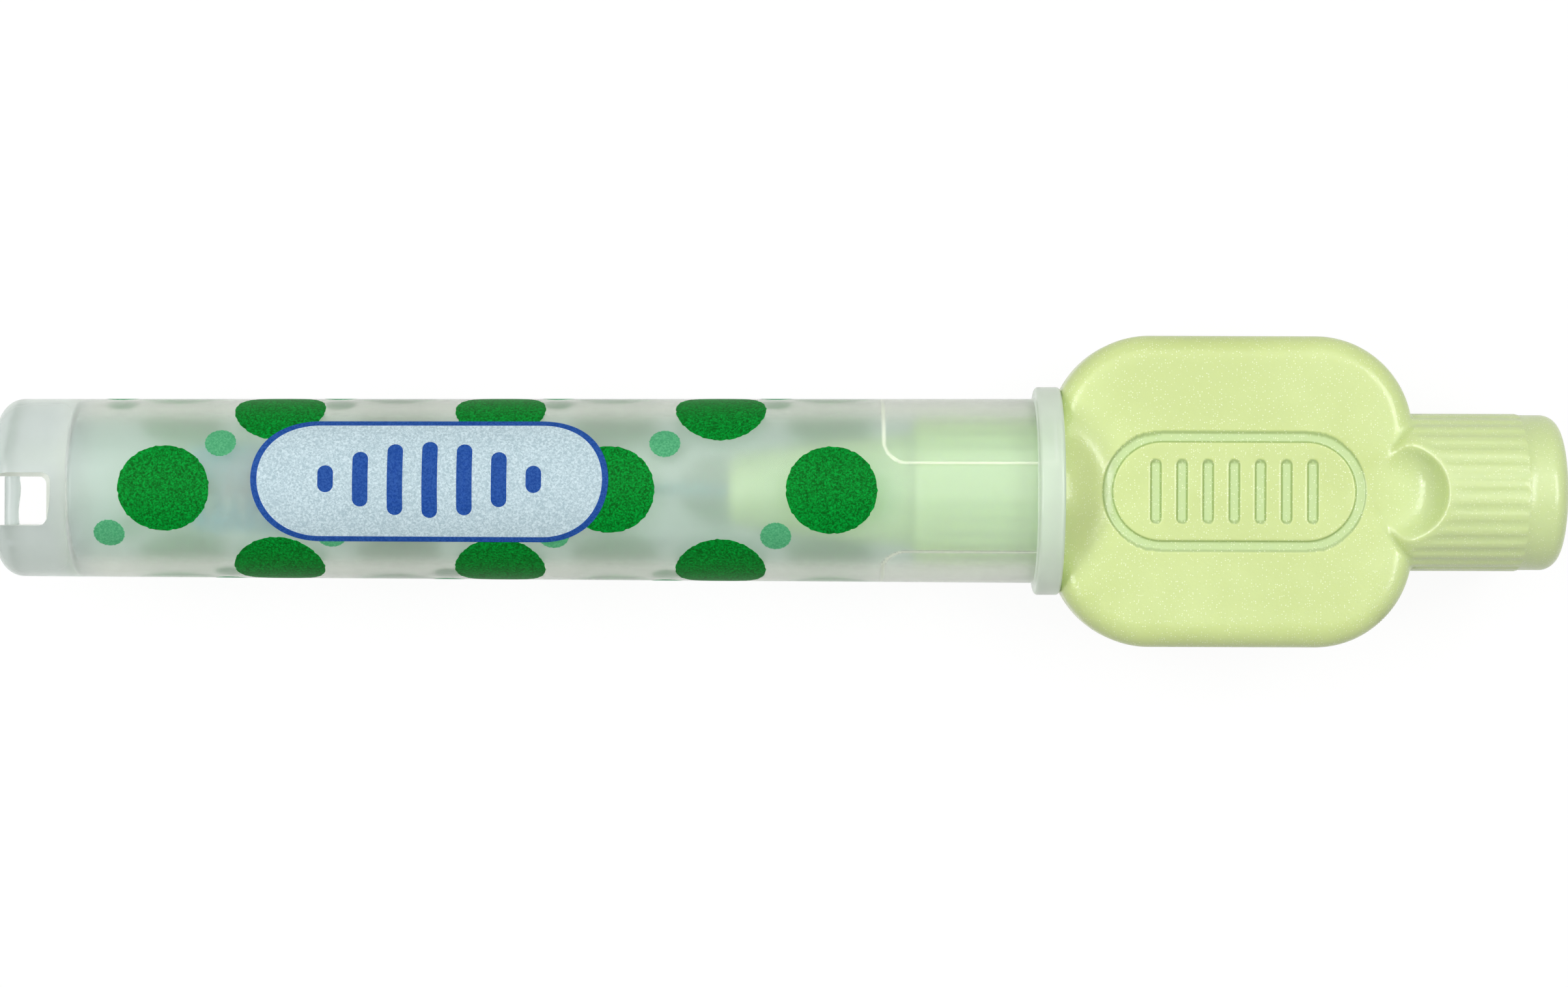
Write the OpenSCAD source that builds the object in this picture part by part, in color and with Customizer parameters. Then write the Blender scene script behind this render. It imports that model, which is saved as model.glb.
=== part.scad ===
// Interdental brush: a twisted-in-wire brush in a flat moulded handle, under a clear slip-on cap.
// Millimetres. The X axis runs down the middle of the cap and the handle, from the closed end of the
// cap to the rear knob, and +Z is square to the handle's flat.
// Stations along X are counted from the closed end of the cap, and place() centres them.

/* [Cap] */
// Length of the cap, closed end to mouth
cap_len = 59.1; // [54:0.1:70]
// Outer radius of the tube at its closed end
cap_end_r = 4.96; // [4.9:0.01:5.1]
// Outer radius of the tube where it meets the flange
cap_mouth_r = 5.15; // [5.1:0.01:5.4]
// Radius of the rounded edge round the closed end
cap_edge_r = 1.2; // [0.6:0.1:1.6]
// Radius of the bore at its blind end
bore_end_r = 4.05; // [3.9:0.01:4.1]
// Radius of the bore at the mouth
bore_mouth_r = 4.26; // [4.24:0.01:4.3]
// Thickness of the wall between the bore and the hang slot
cap_web = 0.85; // [0.6:0.05:2]
// Radius of the flange at the mouth
flange_r = 5.82; // [5.5:0.01:6.6]
// Width of the flange along the cap
flange_w = 1.4; // [1:0.1:2.2]
// Radius of the flange's edges
flange_edge_r = 0.2; // [0.1:0.05:0.4]

/* [Hang slot] */
// Length of the slot from the end of the cap, with the bar in it
slot_len = 3.25; // [2.6:0.05:4.5]
// Height of the slot
slot_h = 2.7; // [1.8:0.1:3.6]
// Distance from the cap's axis to the middle of the slot
slot_drop = 0.73; // [0:0.01:1.2]
// Radius of the slot's inner corners
slot_corner_r = 0.45; // [0.2:0.05:0.8]
// Radius of the round bar across the open end of the slot
slot_bar_r = 0.45; // [0.35:0.05:0.6]

/* [Grip pads in the mouth] */
// Length of the two raised pads
pad_len = 9.8; // [6:0.1:14]
// How far a pad stands out of the bore
pad_rise = 0.09; // [0.06:0.01:0.1]
// Half of the angle that the window between the pads spans
window_half_angle = 35; // [20:1:50]
// Turn of the windows about the cap's axis
window_turn = 14; // [0:1:30]
// Radius of the pads' inner corners
pad_corner_r = 1.2; // [0.6:0.1:2]
// Length of the lead-in at the mouth
pad_lead = 0.4; // [0.2:0.1:0.8]

/* [Handle] */
// Width of the handle's flat along X
paddle_w = 20.1; // [18:0.1:24]
// Height of the handle's flat along Y
paddle_h = 17.35; // [15:0.05:22]
// Thickness of the handle's flat
paddle_t = 5; // [4:0.1:6]
// Corner radius of the flat's outline
paddle_corner_r = 5.44; // [4:0.02:6.5]
// Radius of the flat's soft edges
paddle_edge_r = 1.35; // [0.8:0.05:1.8]
// How much of the flat's front side is cut off square as a stop for the cap
stop_cut = 0.54; // [0.4:0.02:1]
// Gap between the closed cap and its stop
stop_gap = 0.05; // [0.02:0.01:0.2]

/* [Rear knob] */
// Radius over the knob's ribs
knob_r = 4.4; // [4.2:0.01:4.8]
// Length of the knob behind the flat
knob_len = 8.25; // [6:0.05:12]
// Radius of the smooth nose band
nose_r = 4.34; // [4.1:0.01:4.35]
// Length of the nose band with its rounded edge
nose_len = 2.25; // [1.8:0.05:3]
// Radius of the rounded end
nose_edge_r = 1; // [0.5:0.1:1.4]

/* [Ribs] */
// Ribs round each barrel
rib_count = 30; // [20:1:36]
// Depth of the grooves between the ribs
rib_depth = 0.14; // [0.08:0.01:0.2]

/* [Front barrel and neck] */
// Radial clearance between the barrel's ribs and the cap's pads
barrel_gap = 0.05; // [0.02:0.01:0.1]
// Length of the barrel inside the cap
barrel_len = 8.35; // [6:0.05:10]
// Length of the barrel's smooth end with its rounded edge
barrel_end_len = 1.4; // [1:0.1:2.5]
// Radius of the barrel's rounded end
barrel_edge_r = 0.6; // [0.3:0.1:1]
// Length of the neck in front of the barrel
neck_len = 10.25; // [7:0.05:14]
// Radius of the neck at the barrel
neck_root_r = 3.2; // [2.8:0.05:3.4]
// Radius of the neck at its tip
neck_tip_r = 2.15; // [1.8:0.05:2.6]
// Radius of the neck's rounded tip
neck_edge_r = 0.8; // [0.4:0.1:1.2]

/* [Thumb scoops] */
// Radius of the flat floor of a scoop
scoop_floor_r = 1.6; // [1.2:0.1:2]
// Radius of the hollow that rises from a scoop's floor
scoop_hollow_r = 1.6; // [1.4:0.1:2]
// How deep a scoop's floor lies under the flat's face
scoop_sink = 0.03; // [0.02:0.01:0.1]
// How far the rear scoop reaches along the knob's crest
rear_scoop_reach = 1.45; // [0.8:0.05:2.4]
// How far the front barrel's crest runs over the flat before its scoop
front_crest_run = 0.45; // [0.2:0.05:1]
// How far each barrel keeps its full radius over the flat before it runs out
root_run = 0.5; // [0.2:0.05:1]

/* [Grip panel] */
// Length of the oval groove round the grip panel
panel_len = 14.6; // [10:0.1:15]
// Height of the oval groove
panel_h = 6.6; // [5:0.1:8]
// Width of the oval groove
panel_line = 0.55; // [0.3:0.05:0.8]
// Depth of the groove and of the finger slots
panel_depth = 0.16; // [0.08:0.01:0.3]
// Finger slots in the panel
grip_count = 7; // [3:2:7]
// Distance from one finger slot to the next
grip_pitch = 1.45; // [1.3:0.05:1.5]
// Width of a finger slot
grip_w = 0.55; // [0.3:0.05:0.8]
// Height of a finger slot
grip_h = 3.5; // [2.5:0.1:4.5]

/* [Twisted wire] */
// Radius of one strand of the coated wire
strand_r = 0.19; // [0.14:0.01:0.21]
// Length of one full turn of the twist
twist_pitch = 1.9; // [1.8:0.1:2.4]
// Length of wire held in the neck
wire_grip = 6; // [4:0.5:8]
// Bare wire between the neck and the first filament
wire_bare = 9.5; // [6:0.5:12]
// Bare wire between the last filament and the fold at the tip
wire_tip = 0.35; // [0.2:0.05:1]
// Clearance between the twisted wire and its hole in the neck
wire_gap = 0.02; // [0.01:0.01:0.06]

/* [Filaments] */
// Length of the bristled part
brush_len = 21; // [16:0.5:23]
// Radius of the brush over its filaments
brush_r = 2.5; // [1.5:0.1:3.2]
// Radius of the brush at its two ends
brush_end_r = 1.7; // [1:0.1:2.5]
// Length over which each end grows to the full radius
brush_ease = 1.6; // [0.8:0.1:3]
// Filaments along the brush, each of which stands out on both sides
filament_count = 160; // [150:10:200]
// Thickness of a filament across the gap between the strands
filament_t = 0.09; // [0.06:0.01:0.09]

/* [Hidden] */
// Facets round each turned form
round_fn = 96;
// Facets round the hull's corner discs
disc_fn = 32;
// Facets round a drilled hole
hole_fn = 48;
// Steps of a quarter circle in an outline
quarter_steps = 6;
// Overrun of every cut past the faces that it goes through
over = 0.5;
// How far one form of a node reaches into the next
bite = 0.15;
// Corner radius at the blind end of the bore
bore_corner_r = 0.5;
// Share of a rib's pitch taken by its crest, and by each of its flanks
rib_crest_share = 0.36;
rib_flank_share = 0.14;
// Clearance between a strand and the filaments beside it
strand_gap = 0.015;
// Half width of the filaments' clamped middles, measured from the wire's axis
clamp_w = 0.12;
// Clearance between the ends of the wire and the bottom of its hole
hole_gap = 0.25;
// Sides and rings of the wire's tube
strand_sides = 6;
rings_per_turn = 8;
fold_rings = 6;

// Stations along X
slot_end = slot_len;
bore_start = slot_end + cap_web;
pad_start = cap_len - pad_len;
stop_x = cap_len + stop_gap;
paddle_x0 = stop_x - stop_cut;
paddle_x1 = paddle_x0 + paddle_w;
paddle_mid = paddle_x0 + paddle_w / 2;
knob_end = paddle_x1 + knob_len;
nose_x = knob_end - nose_len;
barrel_x = stop_x - barrel_len;
barrel_rib_x = barrel_x + barrel_end_len;
neck_tip = barrel_x - neck_len;
brush_x1 = neck_tip - wire_bare;
brush_x0 = brush_x1 - brush_len;
wire_root = neck_tip + wire_grip;
fold_x = brush_x0 - wire_tip;

// Radii and heights
pad_r = bore_mouth_r - pad_rise;
barrel_r = pad_r - barrel_gap;
face_z = paddle_t / 2;
scoop_z = face_z - scoop_sink;
strand_off = filament_t / 2 + strand_gap + strand_r;
hole_r = strand_off + strand_r + wire_gap;

// Distance from a scoop's axis to the place where its hollow reaches the height z
function scoop_run(z) =
    scoop_floor_r + sqrt(pow(scoop_hollow_r, 2) - pow(max(0, scoop_hollow_r - (z - scoop_z)), 2));
rear_scoop_x = paddle_x1 + rear_scoop_reach - scoop_run(knob_r);
front_scoop_x = stop_x + front_crest_run + scoop_run(barrel_r);
// A barrel's root slopes down into the flat at 45 degrees
function root_slope(r) = r - face_z + bite;

// Points of an arc round a centre, from angle a0 to a1
function arc(c, r, a0, a1, n = quarter_steps) =
    [for (i = [0 : n]) c + r * [cos(a0 + (a1 - a0) * i / n), sin(a0 + (a1 - a0) * i / n)]];

// Moves a form from its stations to the part's own frame
module place() {
    translate([-knob_end / 2, 0, 0]) children();
}

// Turns an outline of [radius, station] points about the X axis
module turned(outline) {
    rotate([0, 90, 0]) rotate_extrude($fn = round_fn) polygon(outline);
}

// A slot outline with round ends, along X or Y
module oval(l, h) {
    long = max(l, h);
    short = min(l, h);
    rotate(l > h ? 0 : 90) {
        square([long - short, short], center = true);
        for (s = [-1, 1]) translate([s * (long - short) / 2, 0]) circle(d = short, $fn = hole_fn);
    }
}

// Cap

// Outside of the tube: rounded closed end, slight taper, flange with small round edges
cap_outline = concat(
    [[0, 0]],
    arc([cap_end_r - cap_edge_r, cap_edge_r], cap_edge_r, -90, 0),
    [[cap_mouth_r, cap_len - flange_w]],
    arc([flange_r - flange_edge_r, cap_len - flange_w + flange_edge_r], flange_edge_r, -90, 0, 3),
    arc([flange_r - flange_edge_r, cap_len - flange_edge_r], flange_edge_r, 0, 90, 3),
    [[0, cap_len]]
);

// The bore widens a little towards the mouth, so that the core can be drawn out of it
bore_slope = (bore_mouth_r - bore_end_r) / (cap_len - bore_start);
bore_outline = concat(
    [[0, bore_start]],
    arc([bore_end_r - bore_corner_r, bore_start + bore_corner_r], bore_corner_r, -90, 0, 4),
    [[bore_mouth_r + bore_slope * over, cap_len + over], [0, cap_len + over]]
);

// Half of a pad's outline, seen square on to a window: it has one rounded inner corner
window_half = pad_r * sin(window_half_angle);
module pad_outline() {
    polygon(concat(
        arc([pad_start + pad_corner_r, window_half + pad_corner_r], pad_corner_r, 180, 270),
        [[cap_len + over, window_half], [cap_len + over, flange_r], [pad_start, flange_r]]
    ));
}

// Ring that the two pads are cut from, with a lead-in at the mouth
module pad_ring() {
    turned([
        [pad_r, pad_start],
        [bore_mouth_r + bite, pad_start],
        [bore_mouth_r + bite, cap_len - pad_lead],
        [pad_r, cap_len - pad_lead - pad_rise]
    ]);
}

module pads() {
    rotate([window_turn, 0, 0]) intersection() {
        pad_ring();
        for (s = [0, 1]) mirror([0, s, 0])
            translate([0, 0, -flange_r]) linear_extrude(2 * flange_r) pad_outline();
    }
}

// Slot through the closed end, open to the end face
module hang_slot() {
    half = slot_h / 2;
    corner = slot_corner_r;
    translate([0, -slot_drop, -flange_r]) linear_extrude(2 * flange_r) polygon(concat(
        [[-over, half], [-over, -half]],
        arc([slot_end - corner, corner - half], corner, -90, 0, 4),
        arc([slot_end - corner, half - corner], corner, 0, 90, 4)
    ));
}

// Round bar that closes the slot's open end and leaves an eye to hang the cap by
module hang_bar() {
    translate([slot_bar_r, slot_h / 2 + bite - slot_drop, 0])
        rotate([90, 0, 0]) cylinder(h = slot_h + 2 * bite, r = slot_bar_r, $fn = hole_fn);
}

module cap() {
    color([0.80, 0.87, 0.82, 0.55]) place() {
        difference() {
            turned(cap_outline);
            turned(bore_outline);
            hang_slot();
        }
        hang_bar();
        pads();
    }
}

// Handle

// One corner of the flat: a disc with soft edges
module paddle_disc() {
    half = face_z;
    edge = paddle_edge_r;
    rotate_extrude($fn = disc_fn) polygon(concat(
        [[0, -half]],
        arc([paddle_corner_r - edge, edge - half], edge, -90, 0, 5),
        arc([paddle_corner_r - edge, half - edge], edge, 0, 90, 5),
        [[0, half]]
    ));
}

// The flat between finger and thumb, cut off square where the cap stops against it
module paddle() {
    difference() {
        hull() {
            for (x = [paddle_x0 + paddle_corner_r, paddle_x1 - paddle_corner_r])
                for (s = [-1, 1]) translate([x, s * (paddle_h / 2 - paddle_corner_r), 0]) paddle_disc();
        }
        translate([paddle_x0 - over, -paddle_h / 2, -paddle_t])
            cube([stop_cut + over, paddle_h, 2 * paddle_t]);
    }
}

// Cross section of a ribbed barrel: crest, flank, groove and flank for each rib
module rib_section(r) {
    step = 360 / rib_count;
    crest = rib_crest_share * step / 2;
    foot = crest + rib_flank_share * step;
    polygon([for (i = [0 : rib_count - 1], p = [[r - rib_depth, -foot], [r, -crest], [r, crest],
        [r - rib_depth, foot]]) p[0] * [cos(i * step + p[1]), sin(i * step + p[1])]]);
}

module ribbed(x0, x1, r) {
    translate([x0, 0, 0]) rotate([90, 0, 90]) linear_extrude(x1 - x0) rib_section(r);
}

// Core of a barrel under its ribs
front_core_r = barrel_r - rib_depth - bite;
rear_core_r = knob_r - rib_depth - bite;

// Neck, rounded barrel end, core under the ribs and smooth root, turned in one piece
front_root_x = stop_x + root_run;
front_root_r = barrel_r - rib_depth / 2;
neck_outline = concat(
    [[0, neck_tip]],
    arc([neck_tip_r - neck_edge_r, neck_tip + neck_edge_r], neck_edge_r, -90, 0),
    [[neck_root_r, barrel_x]],
    arc([front_root_r - barrel_edge_r, barrel_x + barrel_edge_r], barrel_edge_r, -90, 0),
    [[front_root_r, barrel_rib_x], [front_core_r, barrel_rib_x]],
    [[front_core_r, stop_x], [front_root_r, stop_x], [front_root_r, front_root_x]],
    [[front_root_r - root_slope(front_root_r), front_root_x + root_slope(front_root_r)]],
    [[0, front_root_x + root_slope(front_root_r)]]
);

// Smooth root, core under the ribs, smooth nose band and rounded end of the knob
rear_root_x = paddle_x1 - root_run;
rear_root_r = knob_r - rib_depth / 2;
nose_outline = concat(
    [[0, rear_root_x - root_slope(rear_root_r)]],
    [[rear_root_r - root_slope(rear_root_r), rear_root_x - root_slope(rear_root_r)]],
    [[rear_root_r, rear_root_x], [rear_root_r, paddle_x1]],
    [[rear_core_r, paddle_x1], [rear_core_r, nose_x], [nose_r, nose_x]],
    arc([nose_r - nose_edge_r, knob_end - nose_edge_r], nose_edge_r, 0, 90),
    [[0, knob_end]]
);

// Cutter for a scoop: a flat floor with a hollow that rises round it
module scoop(x) {
    top = knob_r + over;
    translate([x, 0, scoop_z]) rotate_extrude($fn = round_fn) polygon(concat(
        [[0, 0]],
        arc([scoop_floor_r, scoop_hollow_r], scoop_hollow_r, -90, 0, 8),
        [[scoop_floor_r + scoop_hollow_r, top], [0, top]]
    ));
}

// Oval groove and finger slots in the upper face
module grip_panel() {
    translate([paddle_mid, 0, face_z - panel_depth]) linear_extrude(panel_depth + over) {
        difference() {
            oval(panel_len, panel_h);
            oval(panel_len - 2 * panel_line, panel_h - 2 * panel_line);
        }
        for (i = [0 : grip_count - 1])
            translate([(i - (grip_count - 1) / 2) * grip_pitch, 0]) oval(grip_w, grip_h);
    }
}

// Hole in the neck for the twisted wire
module wire_hole() {
    translate([neck_tip - over, 0, 0]) rotate([0, 90, 0])
        cylinder(h = wire_grip + hole_gap + over, r = hole_r, $fn = hole_fn);
}

module handle() {
    color([0.85, 0.92, 0.65]) place() difference() {
        union() {
            paddle();
            turned(neck_outline);
            ribbed(barrel_rib_x, stop_x + bite, barrel_r);
            ribbed(paddle_x1 - bite, nose_x, knob_r);
            turned(nose_outline);
        }
        for (s = [0, 1]) mirror([0, 0, s]) {
            scoop(front_scoop_x);
            scoop(rear_scoop_x);
        }
        grip_panel();
        wire_hole();
    }
}

// Twisted wire

// Angle of the twist at a distance s from the wire's root
function twist(s) = 360 * s / twist_pitch;
wire_run = wire_root - fold_x;
strand_rings = ceil(wire_run / twist_pitch * rings_per_turn);

// Middle of a strand, as [point, outward direction]: side is 1 for the first strand and -1 for the second
function strand_at(s, side) = let (d = side * [0, cos(twist(s)), sin(twist(s))])
    [[wire_root - s, 0, 0] + strand_off * d, d];
// Middle of the fold at the tip, where the wire turns back on itself
function fold_at(a) = let (d = cos(a) * [0, cos(twist(wire_run)), sin(twist(wire_run))] + sin(a) * [-1, 0, 0])
    [[fold_x, 0, 0] + strand_off * d, d];

// The whole wire: out along one strand, round the fold, back along the other
wire_path = concat(
    [for (i = [0 : strand_rings]) strand_at(wire_run * i / strand_rings, 1)],
    [for (i = [1 : fold_rings - 1]) fold_at(180 * i / fold_rings)],
    [for (i = [strand_rings : -1 : 0]) strand_at(wire_run * i / strand_rings, -1)]
);

function unit(v) = v / norm(v);

// One ring of the tube round point i of the path
function wire_ring(i) = let (
        last = len(wire_path) - 1,
        t = unit(wire_path[min(i + 1, last)][0] - wire_path[max(i - 1, 0)][0]),
        d = wire_path[i][1],
        n = unit(d - (d * t) * t),
        b = cross(t, n)
    ) [for (k = [0 : strand_sides - 1]) wire_path[i][0]
        + strand_r * (cos(360 * k / strand_sides) * n + sin(360 * k / strand_sides) * b)];

// Tube of triangles through rings of m points each
module ring_tube(rings) {
    m = len(rings[0]);
    n = len(rings);
    points = [for (ring = rings, p = ring) p];
    sides = [for (i = [0 : n - 2], k = [0 : m - 1]) let (a = i * m + k, b = i * m + (k + 1) % m)
        each [[a, b, b + m], [a, b + m, a + m]]];
    first = [for (k = [1 : m - 2]) [0, k + 1, k]];
    last = [for (k = [1 : m - 2]) [(n - 1) * m, (n - 1) * m + k, (n - 1) * m + k + 1]];
    polyhedron(points, concat([for (f = sides) [f[0], f[2], f[1]]], [for (f = first) [f[0], f[2], f[1]]],
        [for (f = last) [f[0], f[2], f[1]]]));
}

module wire() {
    color([0.25, 0.62, 0.66]) place() ring_tube([for (i = [0 : len(wire_path) - 1]) wire_ring(i)]);
}

// Filaments

// Station of a filament's two faces, and its distance from the wire's root
step_x = brush_len / filament_count;
function filament_x(k, face) = brush_x1 - step_x * (k + face / 2);
// The filaments lie in the gap between the strands, a quarter turn from both
function filament_angle(k) = twist(wire_root - filament_x(k, 0)) + 90;
// Reach of filament k: the brush narrows at both ends
function filament_reach(k) = let (
        from_end = step_x * min(k, filament_count - 1 - k),
        ease = min(1, from_end / brush_ease)
    ) brush_end_r + (brush_r - brush_end_r) * sin(90 * ease);

// Corners of filament k at a face: four where it is clamped, then two at each free tip
function filament_corners(k, face) = let (
        a = filament_angle(k),
        u = [0, cos(a), sin(a)],
        v = [0, -sin(a), cos(a)],
        x = [filament_x(k, face), 0, 0],
        w = filament_t / 2,
        reach = filament_reach(k)
    ) [for (p = [[clamp_w, w], [-clamp_w, w], [-clamp_w, -w], [clamp_w, -w],
        [reach, w], [reach, -w], [-reach, w], [-reach, -w]]) x + p[0] * u + p[1] * v];

// Two triangles for a four-sided face
function quad(a, b, c, d) = [[a, b, c], [a, c, d]];

// Each filament has 16 corners: 8 on its first face and 8 on its second
function filament_faces(k) = let (o = 16 * k, p = o + 8) concat(
    quad(o, o + 1, p + 1, p),
    quad(o + 2, o + 3, p + 3, p + 2),
    quad(o + 4, o, p, p + 4),
    quad(o + 3, o + 5, p + 5, p + 3),
    quad(o + 5, o + 4, p + 4, p + 5),
    quad(o, o + 4, o + 5, o + 3),
    quad(p, p + 3, p + 5, p + 4),
    quad(o + 1, o + 6, p + 6, p + 1),
    quad(o + 7, o + 2, p + 2, p + 7),
    quad(o + 6, o + 7, p + 7, p + 6),
    quad(o + 1, o + 2, o + 7, o + 6),
    quad(p + 1, p + 6, p + 7, p + 2)
);

// Clamped middles between filament k and the next one
function clamp_faces(k) = let (o = 16 * k + 8, p = o + 8) [for (j = [0 : 3]) let (n = (j + 1) % 4)
    each quad(o + j, o + n, p + n, p + j)];

module filaments() {
    points = [for (k = [0 : filament_count - 1], face = [0, 1]) each filament_corners(k, face)];
    end = 16 * (filament_count - 1) + 8;
    faces = concat(
        [for (k = [0 : filament_count - 1]) each filament_faces(k)],
        [for (k = [0 : filament_count - 2]) each clamp_faces(k)],
        quad(0, 3, 2, 1),
        quad(end, end + 1, end + 2, end + 3)
    );
    color([0.62, 0.84, 0.86]) place() polyhedron(points, faces);
}

cap();
handle();
wire();
filaments();
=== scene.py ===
import math
import bpy
import numpy as np
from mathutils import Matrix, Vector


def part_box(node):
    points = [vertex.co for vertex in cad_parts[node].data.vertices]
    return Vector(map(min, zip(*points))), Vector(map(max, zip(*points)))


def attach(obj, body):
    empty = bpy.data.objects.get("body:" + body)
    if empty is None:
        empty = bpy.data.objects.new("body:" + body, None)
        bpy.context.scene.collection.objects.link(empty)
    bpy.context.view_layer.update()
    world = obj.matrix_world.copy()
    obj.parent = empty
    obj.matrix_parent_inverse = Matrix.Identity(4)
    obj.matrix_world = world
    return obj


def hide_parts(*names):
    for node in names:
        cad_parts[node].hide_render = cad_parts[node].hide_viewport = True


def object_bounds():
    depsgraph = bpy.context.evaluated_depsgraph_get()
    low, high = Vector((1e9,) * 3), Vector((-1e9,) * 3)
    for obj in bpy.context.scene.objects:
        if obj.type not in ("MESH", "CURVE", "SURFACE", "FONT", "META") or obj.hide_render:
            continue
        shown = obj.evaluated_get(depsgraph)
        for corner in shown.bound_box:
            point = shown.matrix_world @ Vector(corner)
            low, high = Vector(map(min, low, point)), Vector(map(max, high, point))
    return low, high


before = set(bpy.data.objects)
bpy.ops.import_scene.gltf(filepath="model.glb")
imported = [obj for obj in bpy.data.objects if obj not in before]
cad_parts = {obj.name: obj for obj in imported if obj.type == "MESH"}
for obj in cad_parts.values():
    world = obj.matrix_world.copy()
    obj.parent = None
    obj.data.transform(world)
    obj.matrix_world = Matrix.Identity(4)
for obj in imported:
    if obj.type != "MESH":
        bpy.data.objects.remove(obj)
cad_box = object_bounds()

# Interdental brush, closed: a frosted clear cap over a twisted-in-wire brush in a lime plastic handle.
# Lengths are millimetres in the part's own frame and become metres where a mesh is made. X runs along
# the axis from the closed end of the cap to the rear knob, and Z is square to the handle's flat. Only the
# lamps are placed in metres.
MM = 0.001
NO_TRIANGLES = np.zeros((0, 3), int)

# A flat end is closed by a fan of triangles inside POLE_R, and the neck's tip inside NECK_POLE_R.
POLE_R = 0.5
NECK_POLE_R = 0.4

# Sockets of a Mix node that mixes two colours
COLOUR_A, COLOUR_B, COLOUR_OUT = 6, 7, 2


def node_box(node):
    """Lowest and highest corners of a CAD node, in millimetres."""
    low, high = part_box(node)
    return np.array(low) / MM, np.array(high) / MM


cap_low, cap_high = node_box("cap")
handle_low, handle_high = node_box("handle")
wire_low, wire_high = node_box("wire")
brush_low, brush_high = node_box("filaments")

# Cap
CAP_X0 = cap_low[0]
CAP_X1 = cap_high[0]
CAP_END_R = 4.96
CAP_MOUTH_R = 5.15
CAP_EDGE_R = 1.2
BORE_X0 = CAP_X0 + 4.1
BORE_END_R = 4.05
BORE_MOUTH_R = 4.26
BORE_CORNER_R = 0.5
FLANGE_R = cap_high[1]
FLANGE_W = 1.4
FLANGE_EDGE_R = 0.2
FLANGE_FILLET_R = 0.15
MOUTH_EDGE_R = 0.1
PAD_LEN = 9.8
PAD_RISE = 0.09
PAD_CORNER_R = 1.2
PAD_WALL = 0.2
PAD_LEAD = 0.4
WINDOW_HALF_ANGLE = 35
WINDOW_TURN = 14
SLOT_LEN = 3.25
SLOT_H = 2.7
SLOT_Y = -0.73
SLOT_CORNER_R = 0.45
SLOT_FLARE = 0.28
SLOT_FLARE_Z = 4.6
SLOT_FLARE_RUN = 0.4
SLOT_FLARE_FADE = 0.875
BAR_R = 0.45
BAR_INSET = 0.015
BAR_SEAT = 0.4
BAR_WAVE = 0.03
BAR_WAVE_Y = -0.1
BAR_WAVE_TURN = 2.4

# Mesh of the cap: its columns of points, the angle over which an edge is sharp, the difference in height by
# which a face counts as a pad's edge, and the place of each material in its list.
CAP_COLUMNS = 360
CAP_SHARP = 28
PAD_SLOPE = 0.3
OUTSIDE, BORE, FLANGE, EDGES = range(4)

# Prints on the cap. S is the distance round the tube from its top, and each pair of heights gives the lower
# and the upper face of an ink over the tube's outside.
LABEL_X = -19.2
LABEL_S = 0.55
LABEL_L = 19.6
LABEL_H = 7.4
LABEL_LINE = 0.34
GROUND_INSET_SHARE = 0.9
LABEL_BARS = 7
LABEL_BAR_W = 0.85
LABEL_BAR_H = 4.4
LABEL_BAR_FALL = 0.32
LABEL_BAR_PITCH = 1.9
BACK_X = -2.4
BACK_L = 17.5
BACK_H = 8.6
DISC_R = 2.5
DOT_R = 0.85
PRINT_ROWS = 6
ROW_PITCH = 12.2
FIRST_DISC = 9.7
PRINT_X0 = CAP_X0 + SLOT_LEN + 0.8
PRINT_X1 = CAP_X1 - PAD_LEN - 0.3
INK_WOBBLE = 0.03
INK_GLOW = 0.2
DOT_HEIGHTS = (0.003, 0.010)
BACK_HEIGHTS = (0.013, 0.020)
GROUND_HEIGHTS = (0.013, 0.020)
BORDER_HEIGHTS = (0.013, 0.024)
LABEL_BAR_HEIGHTS = (0.021, 0.026)

# Handle
STOP_X = CAP_X1 + 0.05
STOP_CUT = 0.54
FLAT_X0 = STOP_X - STOP_CUT
FLAT_W = 20.1
FLAT_X1 = FLAT_X0 + FLAT_W
FLAT_MID = FLAT_X0 + FLAT_W / 2
FLAT_H = handle_high[1] - handle_low[1]
FLAT_T = 5.0
FLAT_CORNER_R = 5.44
FLAT_EDGE_R = 1.35
NECK_TIP = handle_low[0]
KNOB_END = handle_high[0]
BARREL_X = STOP_X - 8.35
BARREL_RIB_X = BARREL_X + 1.4
BARREL_R = 4.12
BARREL_EDGE_R = 0.6
NECK_ROOT_R = 3.2
NECK_TIP_R = 2.15
NECK_EDGE_R = 0.8
KNOB_R = 4.4
NOSE_X = KNOB_END - 2.25
NOSE_R = 4.34
NOSE_EDGE_R = 1.0
RIB_COUNT = 30
RIB_DEPTH = 0.06
RIB_CREST = 0.12
RIB_FOOT = 0.40
RIB_RISE = 0.12
BARREL_MEAN_R = BARREL_R - RIB_DEPTH / 2
KNOB_MEAN_R = KNOB_R - RIB_DEPTH / 2
KNOB_RIB_LEAD = 0.35
KNOB_RIB_RUN = 0.3
SCOOP_RIB_GAP = 0.1
SCOOP_RIB_RUN = 0.5
ROOT_RUN = 0.5
FRONT_ROOT_ROUND = 1.0
REAR_ROOT_ROUND = 0.5
FRONT_FILLET = 0.9
REAR_FILLET = 0.22
SCOOP_FLOOR_R = 1.2
SCOOP_HOLLOW_R = 2.0
SCOOP_R = SCOOP_FLOOR_R + SCOOP_HOLLOW_R
SCOOP_Z = FLAT_T / 2
SCOOP_REACH = 1.45
SCOOP_X = FLAT_X1 + SCOOP_REACH - SCOOP_R
SCOOP_RIM_ROUND = 0.3
PANEL_L = 14.6
PANEL_H = 6.6
PANEL_LINE = 0.55
PANEL_DEPTH = 0.16
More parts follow.
